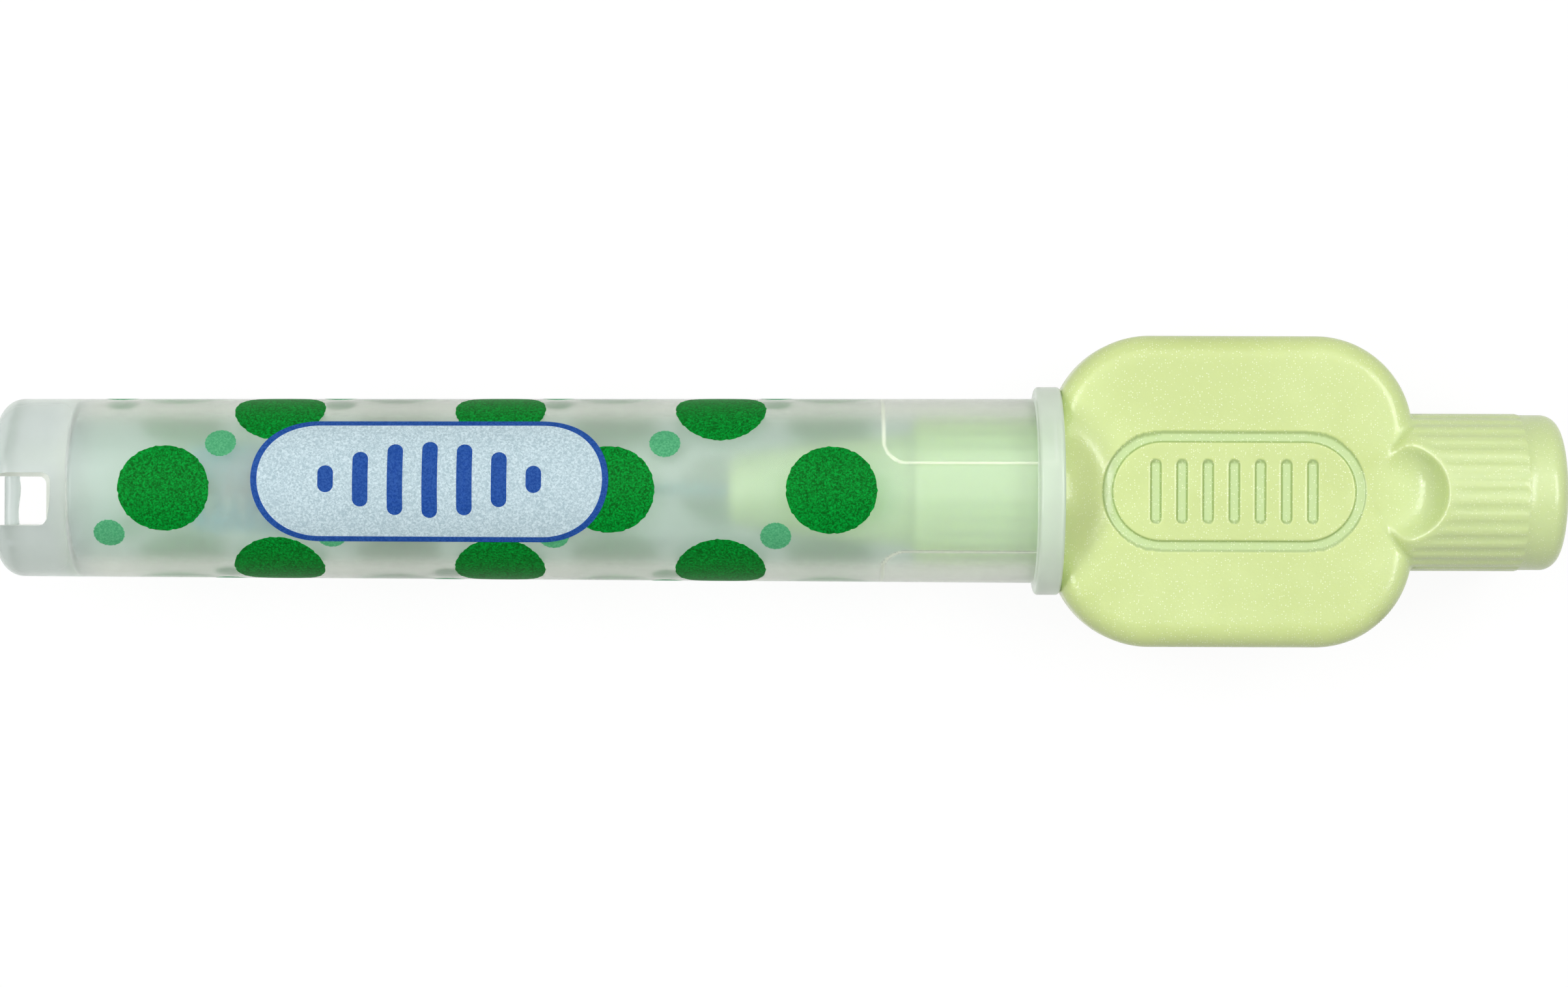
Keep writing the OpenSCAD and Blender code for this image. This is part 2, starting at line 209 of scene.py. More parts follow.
PANEL_WALL = 0.16
GRIP_COUNT = 7
GRIP_PITCH = 1.45
GRIP_H = 3.5

# Mesh of the handle: the rays' first reach and how often it is halved, the steps between stations, the run
# over which even angles give way to those that are even over the flat, and how far two rings lie inside the
# flat's outline at the stop, to round its edge.
FARTHEST = 12
HALVINGS = 26
STEP = 0.12
FINE_STEP = 0.06
SCOOP_STEP = 0.08
STEP_GAP = 0.02
ANGLE_RUN = 2.6
STOP_EDGES = (0.14, 0.04)

# Wire and bristles
STRAND_R = 0.19
STRAND_OFF = 0.25
TWIST_PITCH = 1.9
WIRE_ROOT = wire_high[0]
WIRE_FOLD = wire_low[0] + STRAND_OFF + STRAND_R
BRUSH_X0 = brush_low[0]
BRUSH_X1 = brush_high[0]
BRUSH_R = 2.5
BRUSH_END_R = 1.7
BRUSH_EASE = 1.6
BRISTLE_COUNT = 2600
BRISTLE_SEED = 7
BRISTLE_MARGIN = 0.1
BRISTLE_HALF_WIDTH = 0.034
BRISTLE_LEAST_SHARE = 0.95
BRISTLE_TURN = 0.16
BRISTLE_LEAN = 0.10
BRISTLE_BEND = 0.036

# Stage, lamps and camera. A lamp has its name, its place and its size in metres, and its power in watts.
FLOOR_HALF = 1500.0
FLOOR_GAP = 0.2
LAMP_AIM = (0.01, 0, 0)
LAMPS = (
    ("overhead", (0.0, 0.08, 0.60), (0.50, 0.40), 0.62),
    ("from_right", (0.36, 0.07, 0.48), (0.45, 0.17), 1.47),
    ("from_left", (-0.36, 0.07, 0.48), (0.45, 0.17), 1.47),
    ("from_behind", (0.0, 0.36, 0.48), (0.50, 0.30), 0.56),
    ("from_lower_left", (-0.33, -0.13, 0.38), (0.05, 0.05), 0.30),
)
ROOM_LIGHT = 0.10
CAMERA_PLACE = (0.22, -0.19, 210)
CAMERA_TURN = 0.195
LENS_MM = 86.0


# Colours and nodes

def linear(hex_colour):
    """An sRGB hex colour as the linear RGBA that a socket takes."""
    parts = [int(hex_colour[i:i + 2], 16) / 255 for i in (1, 3, 5)]
    return tuple(c / 12.92 if c <= 0.04045 else ((c + 0.055) / 1.055) ** 2.4 for c in parts) + (1.0,)


def per_mm(size):
    """Scale of a texture whose feature is size millimetres wide. Object coordinates are metres."""
    return 1 / (size * MM)


def add(owner, kind, inputs=None, **settings):
    """Adds a node with its settings to a material or the world. inputs gives each socket a value, or an
    output to link to it."""
    node = owner.node_tree.nodes.new(kind)
    for name, value in settings.items():
        setattr(node, name, value)
    for name, value in (inputs or {}).items():
        if isinstance(value, bpy.types.NodeSocket):
            owner.node_tree.links.new(value, node.inputs[name])
        else:
            node.inputs[name].default_value = value
    return node


def blank_material(name):
    """A material with an empty node tree."""
    material = bpy.data.materials.new(name)
    material.use_nodes = True
    material.node_tree.nodes.clear()
    return material


# Shapes

def arc(x, r, radius, start, end, steps):
    """Points (x, r) of an arc round a centre, from one angle in degrees to another."""
    angle = np.radians(np.linspace(start, end, steps + 1))
    return np.stack([x + radius * np.cos(angle), r + radius * np.sin(angle)], axis=1)


def ease(value):
    """Smooth step: 0 below 0, 1 above 1, and 3t^2 - 2t^3 between."""
    t = np.clip(value, 0, 1)
    return t * t * (3 - 2 * t)


def smooth_min(a, b, k):
    """Union of two distance fields, with a fillet of about k where they meet."""
    h = np.clip(0.5 + 0.5 * (b - a) / k, 0, 1)
    return b + (a - b) * h - k * h * (1 - h)


def smooth_max(a, b, k):
    """Intersection of two distance fields, with its edge rounded by about k."""
    return -smooth_min(-a, -b, k)


def corner_distance(a, b):
    """Distance to a corner from the distances to its two sides: their hypotenuse where both are above 0,
    and the larger one elsewhere."""
    return np.hypot(np.maximum(a, 0), np.maximum(b, 0)) + np.minimum(np.maximum(a, b), 0)


def grid_faces(rings, columns):
    """Quads between the rings of a closed tube of points, ring by ring."""
    ring = np.arange(rings - 1)[:, None] * columns
    here = np.arange(columns)[None, :]
    after = (here + 1) % columns
    quads = np.stack([ring + here, ring + after, ring + columns + after, ring + columns + here], axis=-1)
    return quads.reshape(-1, 4)


def fan(pole, ring_start, columns, outward):
    """Triangles from a pole to the ring of points that starts at ring_start."""
    here = ring_start + np.arange(columns)
    after = ring_start + (np.arange(columns) + 1) % columns
    top = np.full(columns, pole)
    return np.stack([top, here, after] if outward else [top, after, here], axis=-1)


def closed_tube(grid, start, end):
    """Points, quads and triangles of a tube of rings, whose ends are closed on the points start and end."""
    rings, columns, _ = grid.shape
    points = np.concatenate([grid.reshape(-1, 3), [start], [end]])
    last = rings * columns
    triangles = np.concatenate([
        fan(last, 0, columns, False),
        fan(last + 1, last - columns, columns, True),
    ])
    return points, grid_faces(rings, columns), triangles


def join(parts):
    """Several closed tubes as one set of points, quads and triangles."""
    starts = np.cumsum([0] + [len(points) for points, _, _ in parts[:-1]])
    return (
        np.concatenate([points for points, _, _ in parts]),
        np.concatenate([quads + s for (_, quads, _), s in zip(parts, starts)]),
        np.concatenate([triangles + s for (_, _, triangles), s in zip(parts, starts)]),
    )


def make(name, shape, materials, sharp=60, slots=None):
    """A mesh object from a shape, which is points in millimetres, quads and triangles. It is smooth but for
    edges over sharp degrees. slots gives each face its material, and without it all have the first."""
    points, quads, triangles = shape
    mesh = bpy.data.meshes.new(name)
    corners = np.concatenate([quads.ravel(), triangles.ravel()]).astype(np.int32)
    sizes = np.concatenate([np.full(len(quads), 4), np.full(len(triangles), 3)])
    starts = np.concatenate([[0], np.cumsum(sizes)[:-1]]).astype(np.int32)
    mesh.vertices.add(len(points))
    mesh.vertices.foreach_set("co", (points * MM).ravel())
    mesh.loops.add(len(corners))
    mesh.loops.foreach_set("vertex_index", corners)
    mesh.polygons.add(len(sizes))
    mesh.polygons.foreach_set("loop_start", starts)
    if slots is not None:
        mesh.polygons.foreach_set("material_index", slots.astype(np.int32))
    mesh.update(calc_edges=True)
    mesh.validate()
    mesh.shade_smooth()
    mesh.set_sharp_from_angle(angle=math.radians(sharp))
    for material in materials:
        mesh.materials.append(material)
    piece = bpy.data.objects.new(name, mesh)
    bpy.context.scene.collection.objects.link(piece)
    return piece


def around(x, r, theta):
    """Points at station x, radius r and angle theta from +Y towards +Z."""
    x, r, theta = np.broadcast_arrays(x, r, theta)
    return np.stack([x, r * np.cos(theta), r * np.sin(theta)], axis=-1)


# Cap

def tube_radius(x):
    """Outside radius of the cap's tube at a station: a straight taper from the closed end to the mouth."""
    share = (x - CAP_X0 - CAP_EDGE_R) / (CAP_X1 - FLANGE_W - CAP_X0 - CAP_EDGE_R)
    return CAP_END_R + (CAP_MOUTH_R - CAP_END_R) * share


def bore_radius(x):
    """Radius of the cap's bore at a station."""
    return BORE_END_R + (BORE_MOUTH_R - BORE_END_R) * (x - BORE_X0) / (CAP_X1 - BORE_X0)


def cap_profile():
    """Outline of the cap as (x, r) from the middle of its closed end, over the outside, into the bore and
    back to the bore's blind end, and the number of points that lie outside."""
    flange_x = CAP_X1 - FLANGE_W
    edge = FLANGE_EDGE_R
    fillet = FLANGE_FILLET_R
    side = np.linspace(CAP_X0 + CAP_EDGE_R, flange_x - fillet, 30)[1:-1]
    outside = np.concatenate([
        [[CAP_X0, r] for r in np.linspace(POLE_R, CAP_END_R - CAP_EDGE_R, 8)[:-1]],
        arc(CAP_X0 + CAP_EDGE_R, CAP_END_R - CAP_EDGE_R, CAP_EDGE_R, 180, 90, 12),
        np.stack([side, tube_radius(side)], axis=1),
        arc(flange_x - fillet, CAP_MOUTH_R + fillet, fillet, -90, 0, 4),
        arc(flange_x + edge, FLANGE_R - edge, edge, 180, 90, 5),
        arc(CAP_X1 - edge, FLANGE_R - edge, edge, 90, 0, 5),
        arc(CAP_X1 - MOUTH_EDGE_R, BORE_MOUTH_R + MOUTH_EDGE_R, MOUTH_EDGE_R, 0, -90, 4),
    ])
    # Stations down the bore, close at the pads' lead-in and closest over their rounded inner end.
    pad_x = CAP_X1 - PAD_LEN
    down = np.concatenate([
        CAP_X1 - np.array([0.2, 0.3, PAD_LEAD, PAD_LEAD + PAD_RISE]),
        np.linspace(CAP_X1 - 1.0, pad_x + PAD_CORNER_R + PAD_WALL, 8),
        np.arange(pad_x + PAD_CORNER_R, pad_x - 2 * PAD_WALL, -PAD_WALL / 2),
        np.linspace(pad_x - 3 * PAD_WALL, BORE_X0 + BORE_CORNER_R, 30)[:-1],
    ])
    inside = np.concatenate([
        np.stack([down, bore_radius(down)], axis=1),
        arc(BORE_X0 + BORE_CORNER_R, BORE_END_R - BORE_CORNER_R, BORE_CORNER_R, 90, 180, 8),
        [[BORE_X0, r] for r in np.linspace(BORE_END_R - BORE_CORNER_R, POLE_R, 7)[1:]],
    ])
    return np.concatenate([outside, inside]), len(outside)


def pad_height(x, theta):
    """How far the pads stand out of the bore, from 0 to 1. A pad is the part past a window's straight side
    and past the pads' inner end, and the corner between the two is an arc of PAD_CORNER_R."""
    turn = np.abs((np.degrees(theta) - WINDOW_TURN) % 180 - 90)
    across = PAD_CORNER_R - np.radians(turn - WINDOW_HALF_ANGLE) * BORE_MOUTH_R
    along = CAP_X1 - PAD_LEN + PAD_CORNER_R - x
    edge = corner_distance(across, along) - PAD_CORNER_R
    lead = np.clip((CAP_X1 - PAD_LEAD - x) / PAD_RISE, 0, 1)
    return np.clip(1 - edge / PAD_WALL, 0, 1) * lead


def cap_shell(materials):
    """The cap: its outline turned about the axis on a grid of stations and angles, with the bore's radius
    drawn in over the two pads, and then its slot. A face on the slope of a pad's edge has the edges'
    material, and so has the slot."""
    profile, outside = cap_profile()
    theta = np.radians(90 + WINDOW_TURN + np.arange(CAP_COLUMNS) * 360 / CAP_COLUMNS)[None, :]
    x = profile[:, :1]
    row = np.arange(len(profile))[:, None]
    height = pad_height(x, theta) * (row >= outside)
    grid = around(x, profile[:, 1:] - PAD_RISE * height, theta)
    shape = closed_tube(grid, [CAP_X0, 0, 0], [BORE_X0, 0, 0])
    beside = np.roll(height, -1, 1)
    corners = np.stack([height[:-1], height[1:], beside[:-1], beside[1:]])
    slope = corners.max(axis=0) - corners.min(axis=0) > PAD_SLOPE
    flange = (x > CAP_X1 - FLANGE_W - FLANGE_FILLET_R) & (row < outside)
    kind = np.where(flange, FLANGE, np.where(row < outside, OUTSIDE, BORE))
    kind = np.where(slope, EDGES, kind[:-1])
    ends = np.repeat([OUTSIDE, BORE], CAP_COLUMNS)
    shell = make("cap_shell", shape, materials, slots=np.concatenate([kind.ravel(), ends]))
    cut_slot(shell, materials)
    return shell


def cut_slot(shell, materials):
    """Cuts the slot through the cap's closed end and joins its bar, and makes the result the cap's mesh."""
    slot = slot_shape()
    cutter = make("slot_cutter", slot, materials, slots=np.full(len(slot[1]) + len(slot[2]), EDGES))
    bar = make("slot_bar", bar_shape(), materials)
    for operation, tool in (("DIFFERENCE", cutter), ("UNION", bar)):
        boolean = shell.modifiers.new(operation.lower(), "BOOLEAN")
        boolean.operation = operation
        boolean.object = tool
        boolean.solver = "MANIFOLD"
    graph = bpy.context.evaluated_depsgraph_get()
    cut = bpy.data.meshes.new_from_object(shell.evaluated_get(graph))
    shell.modifiers.clear()
    shell.data = cut
    for tool in (cutter, bar):
        bpy.data.objects.remove(tool)
    cut.shade_smooth()
    cut.set_sharp_from_angle(angle=math.radians(CAP_SHARP))


def slot_shape():
    """Cutter for the hang slot: a rounded rectangle carried down through the closed end. From SLOT_FLARE_Z
    outwards, above and below, it widens evenly, by SLOT_FLARE in every SLOT_FLARE_RUN, so that the slot's
    rim is eased. Nearer to the slot's middle than SLOT_FLARE_FADE it widens less."""
    half = SLOT_H / 2
    corner = SLOT_CORNER_R
    x1 = CAP_X0 + SLOT_LEN
    share = np.array([0, 0.3, 1, 3.5])
    up = SLOT_FLARE_Z + SLOT_FLARE_RUN * share
    z = np.concatenate([-up[::-1], up])[:, None, None]
    flare = SLOT_FLARE * np.concatenate([share[::-1], share])[:, None, None]
    outline = np.concatenate([
        [[CAP_X0 - 1, SLOT_Y + half], [CAP_X0 - 1, SLOT_Y - half]],
        arc(x1 - corner, SLOT_Y - half + corner, corner, -90, 0, 8),
        arc(x1 - corner, SLOT_Y + half - corner, corner, 0, 90, 8),
    ])[None, :, :]
    middle = np.array([CAP_X0 + SLOT_LEN / 2, SLOT_Y])
    grown = outline + flare * np.clip((outline - middle) / SLOT_FLARE_FADE, -1, 1)
    grid = np.concatenate([grown, z + 0 * grown[:, :, :1]], axis=-1)
    return closed_tube(grid, [*middle, -up[-1]], [*middle, up[-1]])


def bar_shape():
    """Bar across the slot's open end: a round rod along Y, with a slight wave in its radius where it is
    free and its two ends in the cap's wall."""
    free = SLOT_H / 2
    sides = 24
    y = np.linspace(SLOT_Y - free - BAR_SEAT, SLOT_Y + free + BAR_SEAT, 30)[:, None]
    wave = BAR_WAVE * np.cos((y - BAR_WAVE_Y) * BAR_WAVE_TURN) * (np.abs(y - SLOT_Y) < free)
    r = BAR_R - BAR_WAVE + wave
    angle = (np.arange(sides) * 2 * np.pi / sides)[None, :]
    x = CAP_X0 + BAR_INSET + r - r * np.cos(angle)
    grid = np.stack(np.broadcast_arrays(x, y, r * np.sin(angle)), axis=-1)
    middle = CAP_X0 + BAR_R
    return closed_tube(grid, [middle, y[0, 0], 0], [middle, y[-1, 0], 0])


# Prints on the cap

def patch(inner, outer, heights, rows):
    """A thin closed print on the cap: rows of points between two outlines given as (station, distance round
    the tube from its top), on its upper face and back along its lower face. With no inner outline the
    print is solid. The two faces follow the tube's outside at the two heights."""
    low, high = heights
    solid = inner is None
    if solid:
        inner = np.repeat(outer.mean(axis=0)[None, :], len(outer), axis=0)
    shares = np.linspace(0, 1, rows + 1)[int(solid):]
    shares = np.concatenate([shares, shares[::-1]])[:, None, None]
    lift = np.repeat([high, low], len(shares) // 2)[:, None]
    flat = inner[None] + (outer - inner)[None] * shares
    x = flat[:, :, 0]
    theta = np.pi / 2 - flat[:, :, 1] / CAP_MOUTH_R
    grid = around(x, tube_radius(x) + lift, theta)
    if solid:
        return closed_tube(grid, grid[0].mean(axis=0), grid[-1].mean(axis=0))
    grid = np.concatenate([grid, grid[:1]])
    rings, columns, _ = grid.shape
    quads = grid_faces(rings, columns) % ((rings - 1) * columns)
    return grid[:-1].reshape(-1, 3), quads, NO_TRIANGLES


def disc_outline(x, s, radius, seed, points=96):
    """A circle whose edge wanders a little, as ink does: three waves of seeded phase."""
    angle = np.arange(points) * 2 * np.pi / points
    phase = np.random.default_rng(seed).uniform(0, 2 * np.pi, 3)
    r = radius + INK_WOBBLE * sum(np.sin(n * angle + p) for n, p in zip((19, 31, 43), phase)) / 2
    return np.stack([x + r * np.cos(angle), s + r * np.sin(angle)], axis=1)


def stadium_outline(x, s, length, height, points=240):
    """A rectangle with round ends, as points at even steps of its length round."""
    radius = height / 2
    straight = length - height
    turn = np.pi * radius
    whole = 2 * straight + 2 * turn
    t = np.arange(points) * whole / points
    ends = [0, straight, straight + turn, 2 * straight + turn, whole]
    along = np.interp(t, ends, np.array([-1, 1, 1, -1, -1]) * straight / 2)
    angle = np.interp(t, ends, np.array([-1, -1, 1, 1, 3]) * np.pi / 2)
    return np.stack([x + along + radius * np.cos(angle), s + radius * np.sin(angle)], axis=1)


def dots(radius, shift, turn, seed):
    """Discs in rows along the tube, each row half a pitch on from the one before. The rows lie shift
    further along, and turn rows further round. They keep clear of the slot and of the pads."""
    parts = []
    for row in range(PRINT_ROWS):
        s = (row + turn) * 2 * math.pi / PRINT_ROWS * CAP_MOUTH_R
        start = CAP_X0 + FIRST_DISC + shift + (row % 2) * ROW_PITCH / 2
        for k in range(-1, 6):
            x = start + k * ROW_PITCH
            if PRINT_X0 < x - radius and x + radius < PRINT_X1:
                outline = disc_outline(x, s, radius, seed + 10 * row + k)
                parts.append(patch(None, outline, DOT_HEIGHTS, rows=10))
    return join(parts)


def border_line(x, s, length, height, heights):
    """A line of LABEL_LINE's width, just inside a rectangle with round ends."""
    outer = stadium_outline(x, s, length, height)
    inner = stadium_outline(x, s, length - 2 * LABEL_LINE, height - 2 * LABEL_LINE)
    return patch(inner, outer, heights, rows=2)


def label_border():
    """A blue line round the label."""
    return border_line(LABEL_X, LABEL_S, LABEL_L, LABEL_H, BORDER_HEIGHTS)


def label_fill():
    """The label's pale ground, which runs a little way into its border."""
    inset = 2 * LABEL_LINE * GROUND_INSET_SHARE
    outer = stadium_outline(LABEL_X, LABEL_S, LABEL_L - inset, LABEL_H - inset)
    return patch(None, outer, GROUND_HEIGHTS, rows=14)


def label_bars():
    """Upright bars with round ends, tallest in the middle: their height falls with the square of their
    distance from there."""
    parts = []
    for k in range(-(LABEL_BARS // 2), LABEL_BARS // 2 + 1):
        height = LABEL_BAR_H - LABEL_BAR_FALL * k * k
        outline = stadium_outline(0, 0, height, LABEL_BAR_W, points=64)[:, ::-1]
        place = [LABEL_X + LABEL_BAR_PITCH * k, LABEL_S]
        parts.append(patch(None, outline + place, LABEL_BAR_HEIGHTS, rows=6))
    return join(parts)


def back_panel():
    """A plain outlined panel on the far side of the tube."""
    return border_line(BACK_X, math.pi * CAP_MOUTH_R, BACK_L, BACK_H, BACK_HEIGHTS)


# Handle

def ribs(theta):
    """How far RIB_COUNT ribs stand out from their mean radius: half of RIB_DEPTH on a crest and as much
    inwards in a groove, with eased flanks."""
    turn = theta * RIB_COUNT / (2 * np.pi)
    away = np.abs(turn - np.round(turn))
    return RIB_DEPTH * (0.5 - ease((away - RIB_CREST) / (RIB_FOOT - RIB_CREST)))


def panel_depth(x, y):
    """Depth of the grip panel's oval groove and finger slots, from 0 to 1, with eased walls."""
    along = x - FLAT_MID
    oval = np.hypot(np.maximum(np.abs(along) - (PANEL_L - PANEL_H) / 2, 0), y) - PANEL_H / 2
    groove = PANEL_LINE / 2 - np.abs(oval + PANEL_LINE / 2)
    k = np.clip(np.round(along / GRIP_PITCH), -(GRIP_COUNT - 1) / 2, (GRIP_COUNT - 1) / 2)
    past = np.maximum(np.abs(y) - (GRIP_H - PANEL_LINE) / 2, 0)
    slot = PANEL_LINE / 2 - np.hypot(along - k * GRIP_PITCH, past)
    return ease(np.maximum(groove, slot) / PANEL_WALL + 0.5)


def flat_distance(x, y, z):
    """Distance to the flat: a rounded rectangle given a thickness, with round edges and the panel sunk in
    its upper face."""
    sunk = z + PANEL_DEPTH * panel_depth(x, y) * (z > 0)
    side_x = np.abs(x - FLAT_MID) - (FLAT_W / 2 - FLAT_CORNER_R)
    side_y = np.abs(y) - (FLAT_H / 2 - FLAT_CORNER_R)
    out = corner_distance(side_x, side_y) - FLAT_CORNER_R + FLAT_EDGE_R
    up = np.abs(sunk) - FLAT_T / 2 + FLAT_EDGE_R
    return corner_distance(out, up) - FLAT_EDGE_R


def root_distance(r, x, radius, end, way, rounding):
    """Distance to a barrel's root, which keeps its radius up to end, rounds over and slopes into the flat
    at 45 degrees. way is 1 where the flat lies towards +X, and -1 where it lies towards -X."""
    cone = (r - radius + way * (x - end)) / math.sqrt(2)
    return smooth_max(r - radius, cone, rounding)


def scoop_distance(x, y, z):
    """Distance to the thumb scoops' cutter: a flat floor with a hollow that rises round it, above and
    below."""
    out = np.hypot(x - SCOOP_X, y) - SCOOP_FLOOR_R
    down = SCOOP_Z + SCOOP_HOLLOW_R - np.abs(z)
    return corner_distance(out, down) - SCOOP_HOLLOW_R


def handle_distance(x, theta, r):
    """Distance to the middle of the handle: the flat joined to both roots, less the scoops. The knob's ribs
    start past the flat's edge and past the scoops' rim."""
    y = r * np.cos(theta)
    z = r * np.sin(theta)
    past_edge = (x - FLAT_X1 + KNOB_RIB_LEAD) / KNOB_RIB_RUN
    past_scoop = (np.hypot(x - SCOOP_X, y) - SCOOP_R - SCOOP_RIB_GAP) / SCOOP_RIB_RUN
    ribbed = r - ribs(theta) * ease(past_edge) * ease(past_scoop)
    front = root_distance(r, x, BARREL_MEAN_R, STOP_X + ROOT_RUN, 1, FRONT_ROOT_ROUND)
    rear = root_distance(ribbed, x, KNOB_MEAN_R, FLAT_X1 - ROOT_RUN, -1, REAR_ROOT_ROUND)
    solid = smooth_min(flat_distance(x, y, z), front, FRONT_FILLET)
    solid = smooth_min(solid, rear, REAR_FILLET)
    return smooth_max(solid, -scoop_distance(x, y, z), SCOOP_RIM_ROUND)


def reach(x, theta):
    """How far the handle's surface lies from the axis at each station and angle, found by halving."""
    low = np.zeros(np.broadcast(x, theta).shape)
    high = low + FARTHEST
    for _ in range(HALVINGS):
        middle = (low + high) / 2
        inside = handle_distance(x, theta, middle) < 0
        low = np.where(inside, middle, low)
        high = np.where(inside, high, middle)
    return (low + high) / 2


def flat_angles(columns, samples=20001, closer=4, margin=0.4):
    """Angles whose rays meet the flat's section at even steps, but closer over the grip panel and a margin
    beside it."""
    theta = np.linspace(0, 2 * np.pi, samples)
    r = reach(np.full(theta.shape, FLAT_MID - GRIP_PITCH / 2), theta)
    step = np.hypot(np.diff(r * np.cos(theta)), np.diff(r * np.sin(theta)))
    near = (np.sin(theta[1:]) > 0) & (np.abs(r[1:] * np.cos(theta[1:])) < PANEL_H / 2 + margin)
    length = np.concatenate([[0], np.cumsum(step * np.where(near, closer, 1))])
    return np.interp(np.arange(columns) * length[-1] / columns, length, theta)


def level(stations, r):
    """Points (station, r) of a straight stretch of an outline."""
    return np.stack([stations, np.full(len(stations), r)], axis=1)


def front_rings(theta):
    """Neck, rounded barrel end and ribbed barrel: their outline (station, radius) turned about the axis."""
    neck_x = NECK_TIP + NECK_EDGE_R
    share = np.linspace(0.12, 1, 9)
    taper = np.stack([
        neck_x + (BARREL_X - neck_x) * share - STEP_GAP,
        NECK_TIP_R + (NECK_ROOT_R - NECK_TIP_R) * share,
    ], axis=1)
    rise = BARREL_RIB_X + np.array([-0.02, 0.06, 0.14])
    outline = np.concatenate([
        [[NECK_TIP, r] for r in np.linspace(NECK_POLE_R, NECK_TIP_R - NECK_EDGE_R, 5)[:-1]],
        arc(neck_x, NECK_TIP_R - NECK_EDGE_R, NECK_EDGE_R, 180, 90, 8),
        taper,
        arc(BARREL_X + BARREL_EDGE_R, BARREL_MEAN_R - BARREL_EDGE_R, BARREL_EDGE_R, 160, 90, 8),
        level(rise, BARREL_MEAN_R),
        level(np.linspace(BARREL_RIB_X + 0.5, STOP_X, 12), BARREL_MEAN_R),
    ])
    x = outline[:, :1]
    on = ease((x - BARREL_RIB_X) / RIB_RISE)
    return around(x, outline[:, 1:] + ribs(theta) * on, theta)


def rear_rings(theta, start):
    """Ribbed knob, smooth nose band and rounded end: their outline turned about the axis from a station."""
    outline = np.concatenate([
        level(np.linspace(start, NOSE_X - RIB_RISE, 9)[1:], KNOB_MEAN_R),
        level(np.array([NOSE_X - 0.05, NOSE_X]), KNOB_MEAN_R),
        level(np.array([NOSE_X + 0.05, NOSE_X + 0.5]), NOSE_R),
        arc(KNOB_END - NOSE_EDGE_R, NOSE_R - NOSE_EDGE_R, NOSE_EDGE_R, 90, 0, 12),
        [[KNOB_END, r] for r in np.linspace(NOSE_R - NOSE_EDGE_R, POLE_R, 6)[1:]],
    ])
    x = outline[:, :1]
    on = 1 - ease((x - NOSE_X + RIB_RISE) / RIB_RISE)
    return around(x, outline[:, 1:] + ribs(theta) * on, theta)


def handle_stations():
    """Stations of the handle's middle. They are close over the panel's ends and finger slots and over the
    rear root, and wider elsewhere."""
    # Over a finger slot they lie at these shares of the pitch from its middle, most of them on its walls.
    over_slot = [-0.45, -0.35, -0.245, -0.21, -0.175, -0.14, 0, 0.14, 0.175, 0.21, 0.245, 0.35]
    slots = (np.arange(GRIP_COUNT + 2)[:, None] - (GRIP_COUNT + 1) // 2 + over_slot).ravel()
    slots = slots[np.abs(slots) < GRIP_COUNT / 2 - 0.2]
    panel_end = PANEL_L / 2 + 0.15
    slot_end = GRIP_PITCH * slots[-1] + FINE_STEP
    root = FLAT_X1 - 0.93
    edge = FLAT_X1 + 0.15
    scoop_end = FLAT_X1 + 1.8
    return np.concatenate([
        np.arange(STOP_X + STEP_GAP, FLAT_MID - panel_end - FINE_STEP, STEP),
        np.arange(FLAT_MID - panel_end, FLAT_MID - slot_end, FINE_STEP),
        FLAT_MID + GRIP_PITCH * slots,
        np.arange(FLAT_MID + slot_end, FLAT_MID + panel_end, FINE_STEP),
        np.arange(FLAT_MID + panel_end + FINE_STEP, root - STEP_GAP, STEP),
        np.arange(root, edge, FINE_STEP),
        np.arange(edge + STEP_GAP, scoop_end, SCOOP_STEP),
    ])


def handle_shape(columns=RIB_COUNT * 10):
    """The handle on a grid of stations and angles. Its middle is found ray by ray from the distance to the
    joined forms, and the two ends follow their outlines. Also gives each point's depth in the panel's
    grooves."""
    even = np.arange(columns)[None, :] * 2 * np.pi / columns
    over_flat = flat_angles(columns)[None, :]
    x = handle_stations()[:, None]
    share = ease((x - STOP_X) / ANGLE_RUN) * ease((FLAT_X1 - 0.1 - x) / ANGLE_RUN)
    theta = even + (over_flat - even) * share
    r = reach(x, theta)
    front = front_rings(even)
    barrel = np.hypot(front[-1, :, 1], front[-1, :, 2])
    stop = [
        around(STOP_X + 0.01 * k, np.maximum(r[0] - inset, np.minimum(barrel, r[0])), theta[0])
        for k, inset in enumerate(STOP_EDGES)
    ]
    grid = np.concatenate([front, stop, around(x, r, theta), rear_rings(even, x[-1, 0])])
    groove = panel_depth(grid[:, :, 0], grid[:, :, 1]) * (grid[:, :, 2] > FLAT_T / 2 - 1)
    return closed_tube(grid, [NECK_TIP, 0, 0], [KNOB_END, 0, 0]), groove.ravel()


def handle_piece(material):
    """The handle, with its panel's depth kept as an attribute that the material reads."""
    shape, groove = handle_shape()
    piece = make("handle_moulding", shape, [material], sharp=40)
    depth = piece.data.attributes.new("groove", "FLOAT", "POINT")
    depth.data.foreach_set("value", np.concatenate([groove, [0, 0]]).astype(np.float32))
    return piece


# Wire and bristles

def twist(x):
    """Angle of the twist at a station, in radians."""
    return 2 * np.pi * (WIRE_ROOT - x) / TWIST_PITCH


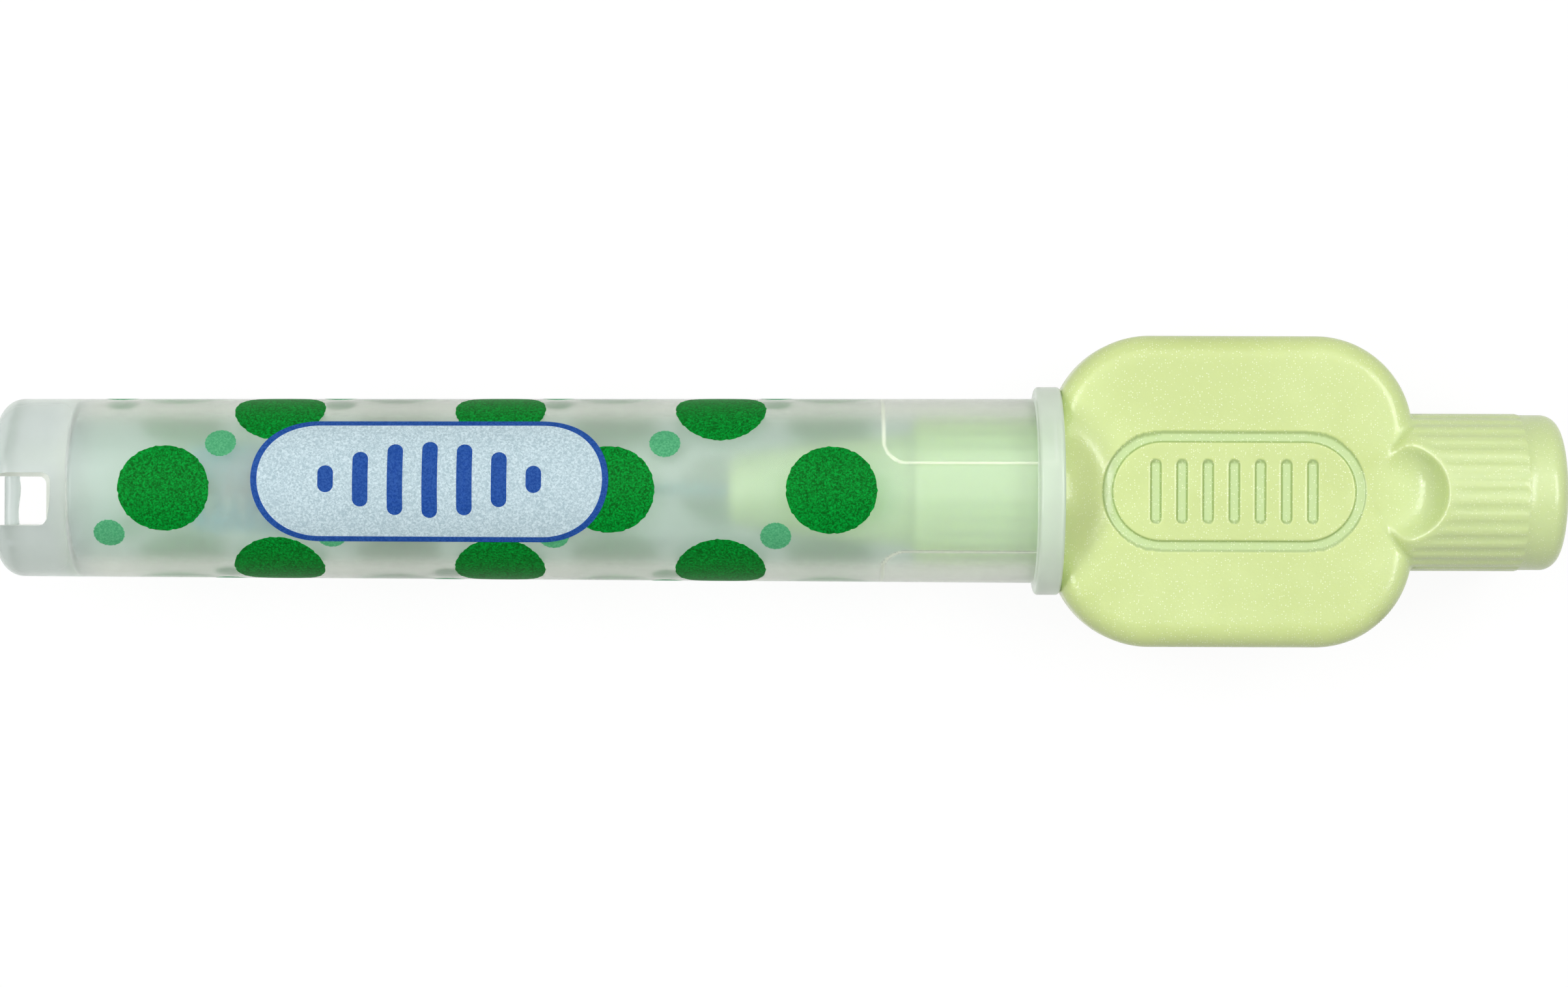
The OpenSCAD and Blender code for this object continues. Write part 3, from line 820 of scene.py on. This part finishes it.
def wire_shape(sides=14, per_turn=30):
    """The wire: a round section carried out along one strand of the twist, round the fold at the tip and
    back along the other. A strand is a helix at STRAND_OFF from the axis."""
    steps = int((WIRE_ROOT - WIRE_FOLD) / TWIST_PITCH * per_turn)
    run = np.linspace(WIRE_ROOT, WIRE_FOLD, steps + 1)
    turn = np.pi * np.arange(1, 10) / 10
    x = np.concatenate([run, WIRE_FOLD - STRAND_OFF * np.sin(turn), run[::-1]])
    side = np.concatenate([np.ones(steps + 1), np.cos(turn), -np.ones(steps + 1)]) * STRAND_OFF
    angle = np.concatenate([twist(run), np.full(len(turn), twist(WIRE_FOLD)), twist(run[::-1])])
    path = np.stack([x, side * np.cos(angle), side * np.sin(angle)], axis=1)
    return tube(path, STRAND_R, sides)


def tube(path, radius, sides):
    """A round tube along a path, closed at both ends. Each ring lies square to the path, and starts from
    the direction that is square to both the path there and a fixed slanting line."""
    along = np.gradient(path, axis=0)
    along /= np.linalg.norm(along, axis=1, keepdims=True)
    across = np.cross(along, [0.3, 0.5, 0.8])
    across /= np.linalg.norm(across, axis=1, keepdims=True)
    up = np.cross(along, across)
    angle = (np.arange(sides) * 2 * np.pi / sides)[None, :, None]
    ring = np.cos(angle) * across[:, None, :] + np.sin(angle) * up[:, None, :]
    return closed_tube(path[:, None, :] + radius * ring, path[0], path[-1])


def bristles_shape():
    """Nylon bristles: each is a thin four-sided strand clamped in the twist, which stands out on both sides
    at a right angle to the two strands of wire there, leans and bends a little, and ends at the brush's
    rounded outline."""
    count = BRISTLE_COUNT
    rng = np.random.default_rng(BRISTLE_SEED)
    x = np.linspace(BRUSH_X0 + BRISTLE_MARGIN, BRUSH_X1 - BRISTLE_MARGIN, count)
    from_end = np.clip(np.minimum(x - BRUSH_X0, BRUSH_X1 - x) / BRUSH_EASE, 0, 1)
    length = BRUSH_END_R + (BRUSH_R - BRUSH_END_R) * np.sin(np.pi / 2 * from_end)
    length = length * rng.uniform(BRISTLE_LEAST_SHARE, 1.0, count)
    square = twist(x) + np.pi / 2
    share = np.array([-1, -0.6, -0.2, 0.2, 0.6, 1])[None, :]
    angle = square[:, None] + rng.normal(0, BRISTLE_TURN, count)[:, None] * np.abs(share)
    lean = rng.normal(0, BRISTLE_LEAN, count)[:, None] * share * np.abs(share)
    side = rng.normal(0, BRISTLE_BEND, count)[:, None] * share ** 2
    points = np.stack([
        x[:, None] + lean * length[:, None],
        (share * np.cos(angle) - side * np.sin(angle)) * length[:, None],
        (share * np.sin(angle) + side * np.cos(angle)) * length[:, None],
    ], axis=-1)
    along = np.array([1.0, 0, 0])
    beside = np.stack([0 * x, -np.sin(square), np.cos(square)], axis=-1)
    corners = [(1, 0), (0, 1), (-1, 0), (0, -1)]
    ring = np.stack([c * along + s * beside for c, s in corners], axis=1) * BRISTLE_HALF_WIDTH
    grid = points[:, :, None, :] + ring[:, None, :, :]
    strands, rings, sides, _ = grid.shape
    first = (np.arange(strands) * rings * sides)[:, None, None]
    ends = np.array([[3, 2, 1, 0], [(rings - 1) * sides + k for k in range(4)]])
    quads = [(faces[None] + first).reshape(-1, 4) for faces in (grid_faces(rings, sides), ends)]
    return grid.reshape(-1, 3), np.concatenate(quads), NO_TRIANGLES


# Materials

def open_to_lamps(material, surface, share, colour):
    """Ends a material in a surface that a lamp's light partly goes straight through: shadow rays find a
    share of it open, in a colour."""
    path = add(material, "ShaderNodeLightPath")
    open_share = add(material, "ShaderNodeMath", {0: path.outputs["Is Shadow Ray"], 1: share},
                     operation="MULTIPLY")
    open_way = add(material, "ShaderNodeBsdfTransparent", {"Color": linear(colour)})
    mixed = add(material, "ShaderNodeMixShader", {
        0: open_share.outputs[0], 1: surface.outputs[0], 2: open_way.outputs[0],
    })
    add(material, "ShaderNodeOutputMaterial", {"Surface": mixed.outputs[0]})


def seen_rays(owner):
    """1 for camera, mirror and see-through rays, and 0 for those that light the object."""
    path = add(owner, "ShaderNodeLightPath").outputs
    seen = add(owner, "ShaderNodeMath", {0: path["Is Camera Ray"], 1: path["Is Glossy Ray"]},
               operation="MAXIMUM")
    seen = add(owner, "ShaderNodeMath", {0: seen.outputs[0], 1: path["Is Transmission Ray"]},
               operation="MAXIMUM")
    return seen.outputs[0]


def lime_plastic():
    """Pearly lime polypropylene, injection moulded in a spark-eroded tool: a soft sheen broken up by a fine
    grain, smoother pearl flakes here and there whose colour is a painted glint, a mintier tone in the sunk
    panel lines, painted shade on their walls, and a painted sheen that makes the colour paler towards the
    thick knob."""
    material = blank_material("pearl_lime_polypropylene")
    place = add(material, "ShaderNodeTexCoord").outputs["Object"]
    cloud = add(material, "ShaderNodeTexNoise", {"Vector": place, "Scale": per_mm(5.0), "Detail": 3.0})
    tone = add(material, "ShaderNodeValToRGB", {"Fac": cloud.outputs["Fac"]})
    low, high = tone.color_ramp.elements
    low.position = 0.35
    low.color = linear("#CDDD90")
    high.position = 0.65
    high.color = linear("#D5E59B")
    station = add(material, "ShaderNodeSeparateXYZ", {"Vector": place})
    # Paler towards the knob: painted sheen, for the stronger highlight that the knob catches.
    knob = add(material, "ShaderNodeMapRange", {
        "Value": station.outputs["X"], "From Min": (FLAT_X1 - 3.0) * MM, "From Max": (FLAT_X1 + 1.0) * MM,
        "To Max": 0.7,
    }, interpolation_type="SMOOTHSTEP")
    groove = add(material, "ShaderNodeAttribute", attribute_name="groove")
    # A groove's wall is where its depth is about halfway. Its colour is darkened there, painted shade for
    # the little light that gets to it.
    off = add(material, "ShaderNodeMath", {0: groove.outputs["Fac"], 1: 0.5}, operation="SUBTRACT")
    off = add(material, "ShaderNodeMath", {0: off.outputs[0]}, operation="ABSOLUTE")
    wall = add(material, "ShaderNodeMapRange", {
        "Value": off.outputs[0], "From Min": 0.15, "From Max": 0.5, "To Min": 0.65, "To Max": 0.0,
    })
    # A flake glints over about 0.03 mm. It is drawn twice as wide so that it shows in the render.
    flakes = add(material, "ShaderNodeTexVoronoi", {"Vector": place, "Scale": per_mm(0.12)})
    near = add(material, "ShaderNodeMapRange", {
        "Value": flakes.outputs["Distance"], "From Min": 0.12, "From Max": 0.34,
        "To Min": 1.0, "To Max": 0.0,
    })
    pick = add(material, "ShaderNodeSeparateColor", {"Color": flakes.outputs["Color"]})
    some = add(material, "ShaderNodeMath", {0: pick.outputs["Red"], 1: 0.62}, operation="GREATER_THAN")
    # A picked flake is smoother, and its colour is painted bright: a painted glint.
    glint = add(material, "ShaderNodeMath", {0: near.outputs["Result"], 1: some.outputs[0]},
                operation="MULTIPLY")
    # From the first tone: painted sheen at the knob, mintier groove, painted shade on its wall, painted
    # glint on a flake.
    colour = tone.outputs["Color"]
    for share, other in (
        (knob.outputs["Result"], "#D3E4A6"),
        (groove.outputs["Fac"], "#C6DC9A"),
        (wall.outputs["Result"], "#96B068"),
        (glint.outputs[0], "#F0FAD0"),
    ):
        mixed = add(material, "ShaderNodeMix", {"Factor": share, COLOUR_A: colour, COLOUR_B: linear(other)},
                    data_type="RGBA")
        colour = mixed.outputs[COLOUR_OUT]
    grain = add(material, "ShaderNodeTexNoise", {"Vector": place, "Scale": per_mm(0.20), "Detail": 2.0})
    bump = add(material, "ShaderNodeBump", {
        "Height": grain.outputs["Fac"], "Strength": 0.8, "Distance": 0.022 * MM,
    })
    rough = add(material, "ShaderNodeMapRange", {"Value": glint.outputs[0], "To Min": 0.27, "To Max": 0.14})
    surface = add(material, "ShaderNodeBsdfPrincipled", {
        "Base Color": colour, "Roughness": rough.outputs["Result"], "IOR": 1.49,
        "Specular IOR Level": 0.75, "Normal": bump.outputs["Normal"], "Subsurface Weight": 0.4,
        "Subsurface Radius": (1.0, 0.9, 0.45), "Subsurface Scale": 0.8 * MM,
    })
    add(material, "ShaderNodeOutputMaterial", {"Surface": surface.outputs[0]})
    return material


def clear_plastic(name, tint, end_tint, roughness, haze, end_haze, slant, lit, grain_mm, grain_depth):
    """Milky clear polypropylene, injection moulded: light goes through, blurred by the surface's grain, and
    a share of it scatters back as haze. Tint and haze turn from those of the solid closed end to the tube's
    just past it. slant is the share of the haze that is left where the surface is seen at a slant, and lit
    the share of a shadow ray that goes straight through."""
    material = blank_material(name)
    place = add(material, "ShaderNodeTexCoord").outputs["Object"]
    cloud = add(material, "ShaderNodeTexNoise", {"Vector": place, "Scale": per_mm(4.0), "Detail": 2.0})
    uneven = add(material, "ShaderNodeMapRange", {
        "Value": cloud.outputs["Fac"], "To Min": 1.15, "To Max": 0.85,
    })
    station = add(material, "ShaderNodeSeparateXYZ", {"Vector": place})
    along = add(material, "ShaderNodeMapRange", {
        "Value": station.outputs["X"], "From Min": (BORE_X0 - 1.0) * MM, "From Max": (BORE_X0 + 2.0) * MM,
    }, interpolation_type="SMOOTHSTEP")
    colour = add(material, "ShaderNodeMix", {
        "Factor": along.outputs["Result"], COLOUR_A: linear(end_tint), COLOUR_B: linear(tint),
    }, data_type="RGBA")
    thick = add(material, "ShaderNodeMapRange", {
        "Value": along.outputs["Result"], "To Min": end_haze, "To Max": haze,
    })
    # Light at a slant is mostly reflected back into the wall, so less of it is seen as haze.
    facing = add(material, "ShaderNodeLayerWeight", {"Blend": 0.5})
    clear = add(material, "ShaderNodeMapRange", {
        "Value": facing.outputs["Facing"], "From Min": 0.08, "From Max": 0.30,
        "To Min": 1.0, "To Max": slant,
    })
    milky = uneven.outputs["Result"]
    for share in (thick, clear):
        milky = add(material, "ShaderNodeMath", {0: milky, 1: share.outputs["Result"]},
                    operation="MULTIPLY").outputs[0]
    through = add(material, "ShaderNodeMath", {0: 1.0, 1: milky}, operation="SUBTRACT")
    grain = add(material, "ShaderNodeTexNoise", {"Vector": place, "Scale": per_mm(grain_mm), "Detail": 2.0})
    bump = add(material, "ShaderNodeBump", {
        "Height": grain.outputs["Fac"], "Strength": 0.25, "Distance": grain_depth * MM,
    })
    surface = add(material, "ShaderNodeBsdfPrincipled", {
        "Base Color": colour.outputs[COLOUR_OUT], "Roughness": roughness, "IOR": 1.49,
        "Transmission Weight": through.outputs[0], "Normal": bump.outputs["Normal"],
    })
    open_to_lamps(material, surface, lit, "#E9EAE8")
    return material


def ink(name, dark, light, through, roughness, lit, speck_mm=0.11):
    """Printed ink: a flat film with the fine worm-like stipple that a rough tube gives it. It is so thin
    that some light comes through it, in the colour through. Its underside has that clearer colour too, as
    painted light for the light that comes through the ink. lit is the share of a shadow ray that goes
    straight through each face."""
    material = blank_material(name)
    coordinates = add(material, "ShaderNodeTexCoord")
    place = coordinates.outputs["Object"]
    stipple = add(material, "ShaderNodeTexNoise", {
        "Vector": place, "Scale": per_mm(speck_mm), "Detail": 1.5, "Distortion": 0.8,
    })
    tone = add(material, "ShaderNodeValToRGB", {"Fac": stipple.outputs["Fac"]})
    low, high = tone.color_ramp.elements
    low.position = 0.38
    low.color = linear(dark)
    high.position = 0.66
    high.color = linear(light)
    # The underside's normal points at the axis, so its product with the place is below zero.
    outwards = add(material, "ShaderNodeVectorMath", {0: coordinates.outputs["Normal"], 1: place},
                   operation="DOT_PRODUCT")
    under = add(material, "ShaderNodeMath", {0: outwards.outputs["Value"], 1: 0.0}, operation="LESS_THAN")
    # The underside is painted the clearer colour through: painted light for light that comes through the
    # ink.
    colour = add(material, "ShaderNodeMix", {
        "Factor": under.outputs[0], COLOUR_A: tone.outputs["Color"], COLOUR_B: linear(through),
    }, data_type="RGBA")
    bump = add(material, "ShaderNodeBump", {
        "Height": stipple.outputs["Fac"], "Strength": 0.2, "Distance": 0.01 * MM,
    })
    surface = add(material, "ShaderNodeBsdfPrincipled", {
        "Base Color": colour.outputs[COLOUR_OUT], "Roughness": roughness, "Normal": bump.outputs["Normal"],
        "Specular IOR Level": 0.08,
    })
    glow = add(material, "ShaderNodeBsdfTranslucent", {"Color": linear(through)})
    film = add(material, "ShaderNodeMixShader", {0: INK_GLOW, 1: surface.outputs[0], 2: glow.outputs[0]})
    open_to_lamps(material, film, lit, through)
    return material


def coated_wire():
    """Steel wire dipped in a thin teal plastic coat: glossy, a little uneven in tone along the twist."""
    material = blank_material("teal_coated_steel_wire")
    place = add(material, "ShaderNodeTexCoord").outputs["Object"]
    cloud = add(material, "ShaderNodeTexNoise", {"Vector": place, "Scale": per_mm(0.6), "Detail": 3.0})
    tone = add(material, "ShaderNodeValToRGB", {"Fac": cloud.outputs["Fac"]})
    low, high = tone.color_ramp.elements
    low.position = 0.3
    low.color = linear("#0890A2")
    high.position = 0.7
    high.color = linear("#22B0BC")
    surface = add(material, "ShaderNodeBsdfPrincipled", {
        "Base Color": tone.outputs["Color"], "Roughness": 0.28, "IOR": 1.5, "Coat Weight": 0.3,
        "Coat Roughness": 0.1,
    })
    add(material, "ShaderNodeOutputMaterial", {"Surface": surface.outputs[0]})
    return material


def nylon():
    """Drawn nylon filament: pale blue, with a soft shine along each strand. It is half clear, so that about
    half of a lamp's light goes straight through each face of a strand."""
    material = blank_material("pale_blue_nylon")
    place = add(material, "ShaderNodeTexCoord").outputs["Object"]
    cloud = add(material, "ShaderNodeTexNoise", {"Vector": place, "Scale": per_mm(0.5), "Detail": 2.0})
    tone = add(material, "ShaderNodeValToRGB", {"Fac": cloud.outputs["Fac"]})
    low, high = tone.color_ramp.elements
    low.position = 0.3
    low.color = linear("#4CCCF2")
    high.position = 0.7
    high.color = linear("#8CE6FF")
    surface = add(material, "ShaderNodeBsdfPrincipled", {
        "Base Color": tone.outputs["Color"], "Roughness": 0.35, "IOR": 1.53,
    })
    open_to_lamps(material, surface, 0.6, "#DCEEFA")
    return material


def floor_material():
    """A white sweep that camera, mirror and see-through rays find evenly white, under a faint shadow."""
    material = blank_material("white_sweep")
    share = add(material, "ShaderNodeMath", {0: seen_rays(material), 1: 0.85}, operation="MULTIPLY")
    paper = add(material, "ShaderNodeBsdfDiffuse", {"Color": linear("#C9C9C7")})
    glow = add(material, "ShaderNodeEmission", {"Color": linear("#FFFFFF"), "Strength": 1.09})
    mixed = add(material, "ShaderNodeMixShader", {
        0: share.outputs[0], 1: paper.outputs[0], 2: glow.outputs[0],
    })
    add(material, "ShaderNodeOutputMaterial", {"Surface": mixed.outputs[0]})
    return material


# Stage, light and camera

def stage():
    """A wide floor just under the object."""
    half = FLOOR_HALF
    z = cad_box[0][2] / MM - FLOOR_GAP
    points = np.array([[-half, -half, z], [half, -half, z], [half, half, z], [-half, half, z]])
    floor = make("floor", (points, np.array([[0, 1, 2, 3]]), NO_TRIANGLES), [floor_material()])


def lamps():
    """Five soft rectangular lamps that face LAMP_AIM: a broad one overhead, a strong one on either side
    that draws the long soft highlights, a weak broad one behind and a small one at the lower left."""
    for name, place, size, power in LAMPS:
        data = bpy.data.lights.new(name, "AREA")
        data.shape = "RECTANGLE"
        data.size, data.size_y = size
        data.energy = power
        lamp = bpy.data.objects.new(name, data)
        bpy.context.scene.collection.objects.link(lamp)
        lamp.location = place
        way = np.array(LAMP_AIM) - np.array(place)
        lamp.rotation_euler = (math.acos(-way[2] / np.linalg.norm(way)), 0, math.atan2(-way[0], way[1]))


def room():
    """A dim white room, which camera, mirror and see-through rays find fully white."""
    world = bpy.data.worlds.new("studio")
    bpy.context.scene.world = world
    world.use_nodes = True
    world.node_tree.nodes.clear()
    white = linear("#FFFFFF")
    dim = add(world, "ShaderNodeBackground", {"Color": white, "Strength": ROOM_LIGHT})
    full = add(world, "ShaderNodeBackground", {"Color": white, "Strength": 1.0})
    mixed = add(world, "ShaderNodeMixShader", {0: seen_rays(world), 1: dim.outputs[0], 2: full.outputs[0]})
    add(world, "ShaderNodeOutputWorld", {"Surface": mixed.outputs[0]})


def camera():
    """The photograph's view: straight down on the flat, turned a fifth of a degree."""
    data = bpy.data.cameras.new("camera")
    data.lens = LENS_MM
    data.clip_start = 0.01
    eye = bpy.data.objects.new("camera", data)
    bpy.context.scene.collection.objects.link(eye)
    eye.location = [MM * c for c in CAMERA_PLACE]
    eye.rotation_euler = (0, 0, math.radians(CAMERA_TURN))
    bpy.context.scene.camera = eye


# Making

camera()
cap = cap_shell([
    clear_plastic("milky_polypropylene_outside",
                  tint="#F4F8EC", end_tint="#D1D9D7", roughness=0.24, haze=0.16, end_haze=0.36,
                  slant=1.0, lit=0.85, grain_mm=0.5, grain_depth=0.004),
    clear_plastic("milky_polypropylene_bore",
                  tint="#B4CCC8", end_tint="#BCCACC", roughness=0.30, haze=0.27, end_haze=0.30,
                  slant=0.1, lit=0.85, grain_mm=0.3, grain_depth=0.010),
    clear_plastic("milky_polypropylene_flange",
                  tint="#EEFAEA", end_tint="#EEFAEA", roughness=0.25, haze=0.62, end_haze=0.62,
                  slant=1.0, lit=0.25, grain_mm=0.5, grain_depth=0.004),
    clear_plastic("milky_polypropylene_edges",
                  tint="#FAFFF4", end_tint="#FAFFF4", roughness=0.20, haze=0.66, end_haze=0.66,
                  slant=1.0, lit=0.85, grain_mm=0.5, grain_depth=0.004),
])
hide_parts("cap")
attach(cap, "cap")

green = ink("deep_green_ink", dark="#005C18", light="#00A43C", through="#00E458", roughness=0.5, lit=0.85)
pale_green = ink("light_green_ink", dark="#50A478", light="#6CBE90", through="#90E8B0", roughness=0.5,
                 lit=0.85)
blue = ink("blue_ink", dark="#1F4C9C", light="#3766B4", through="#3C70D0", roughness=0.45, lit=0.5)
silver = ink("pale_silver_ink", dark="#B4CAD2", light="#E2F2F8", through="#F0FAFC", roughness=0.4, lit=0.2,
             speck_mm=0.12)
for name, shape, material in (
    ("print_discs", dots(DISC_R, shift=0, turn=0, seed=100), green),
    ("print_dots", dots(DOT_R, shift=ROW_PITCH / 4, turn=0.5, seed=500), pale_green),
    ("label_ground", label_fill(), silver),
    ("label_border", label_border(), blue),
    ("label_bars", label_bars(), blue),
    ("back_panel_line", back_panel(), blue),
):
    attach(make(name, shape, [material]), "cap")

handle = handle_piece(lime_plastic())
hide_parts("handle")
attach(handle, "brush")

wire = make("twisted_wire", wire_shape(), [coated_wire()])
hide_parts("wire")
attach(wire, "brush")

bristles = make("bristles", bristles_shape(), [nylon()])
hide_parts("filaments")
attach(bristles, "brush")

stage()
lamps()
room()
bpy.context.scene.view_settings.view_transform = "Standard"
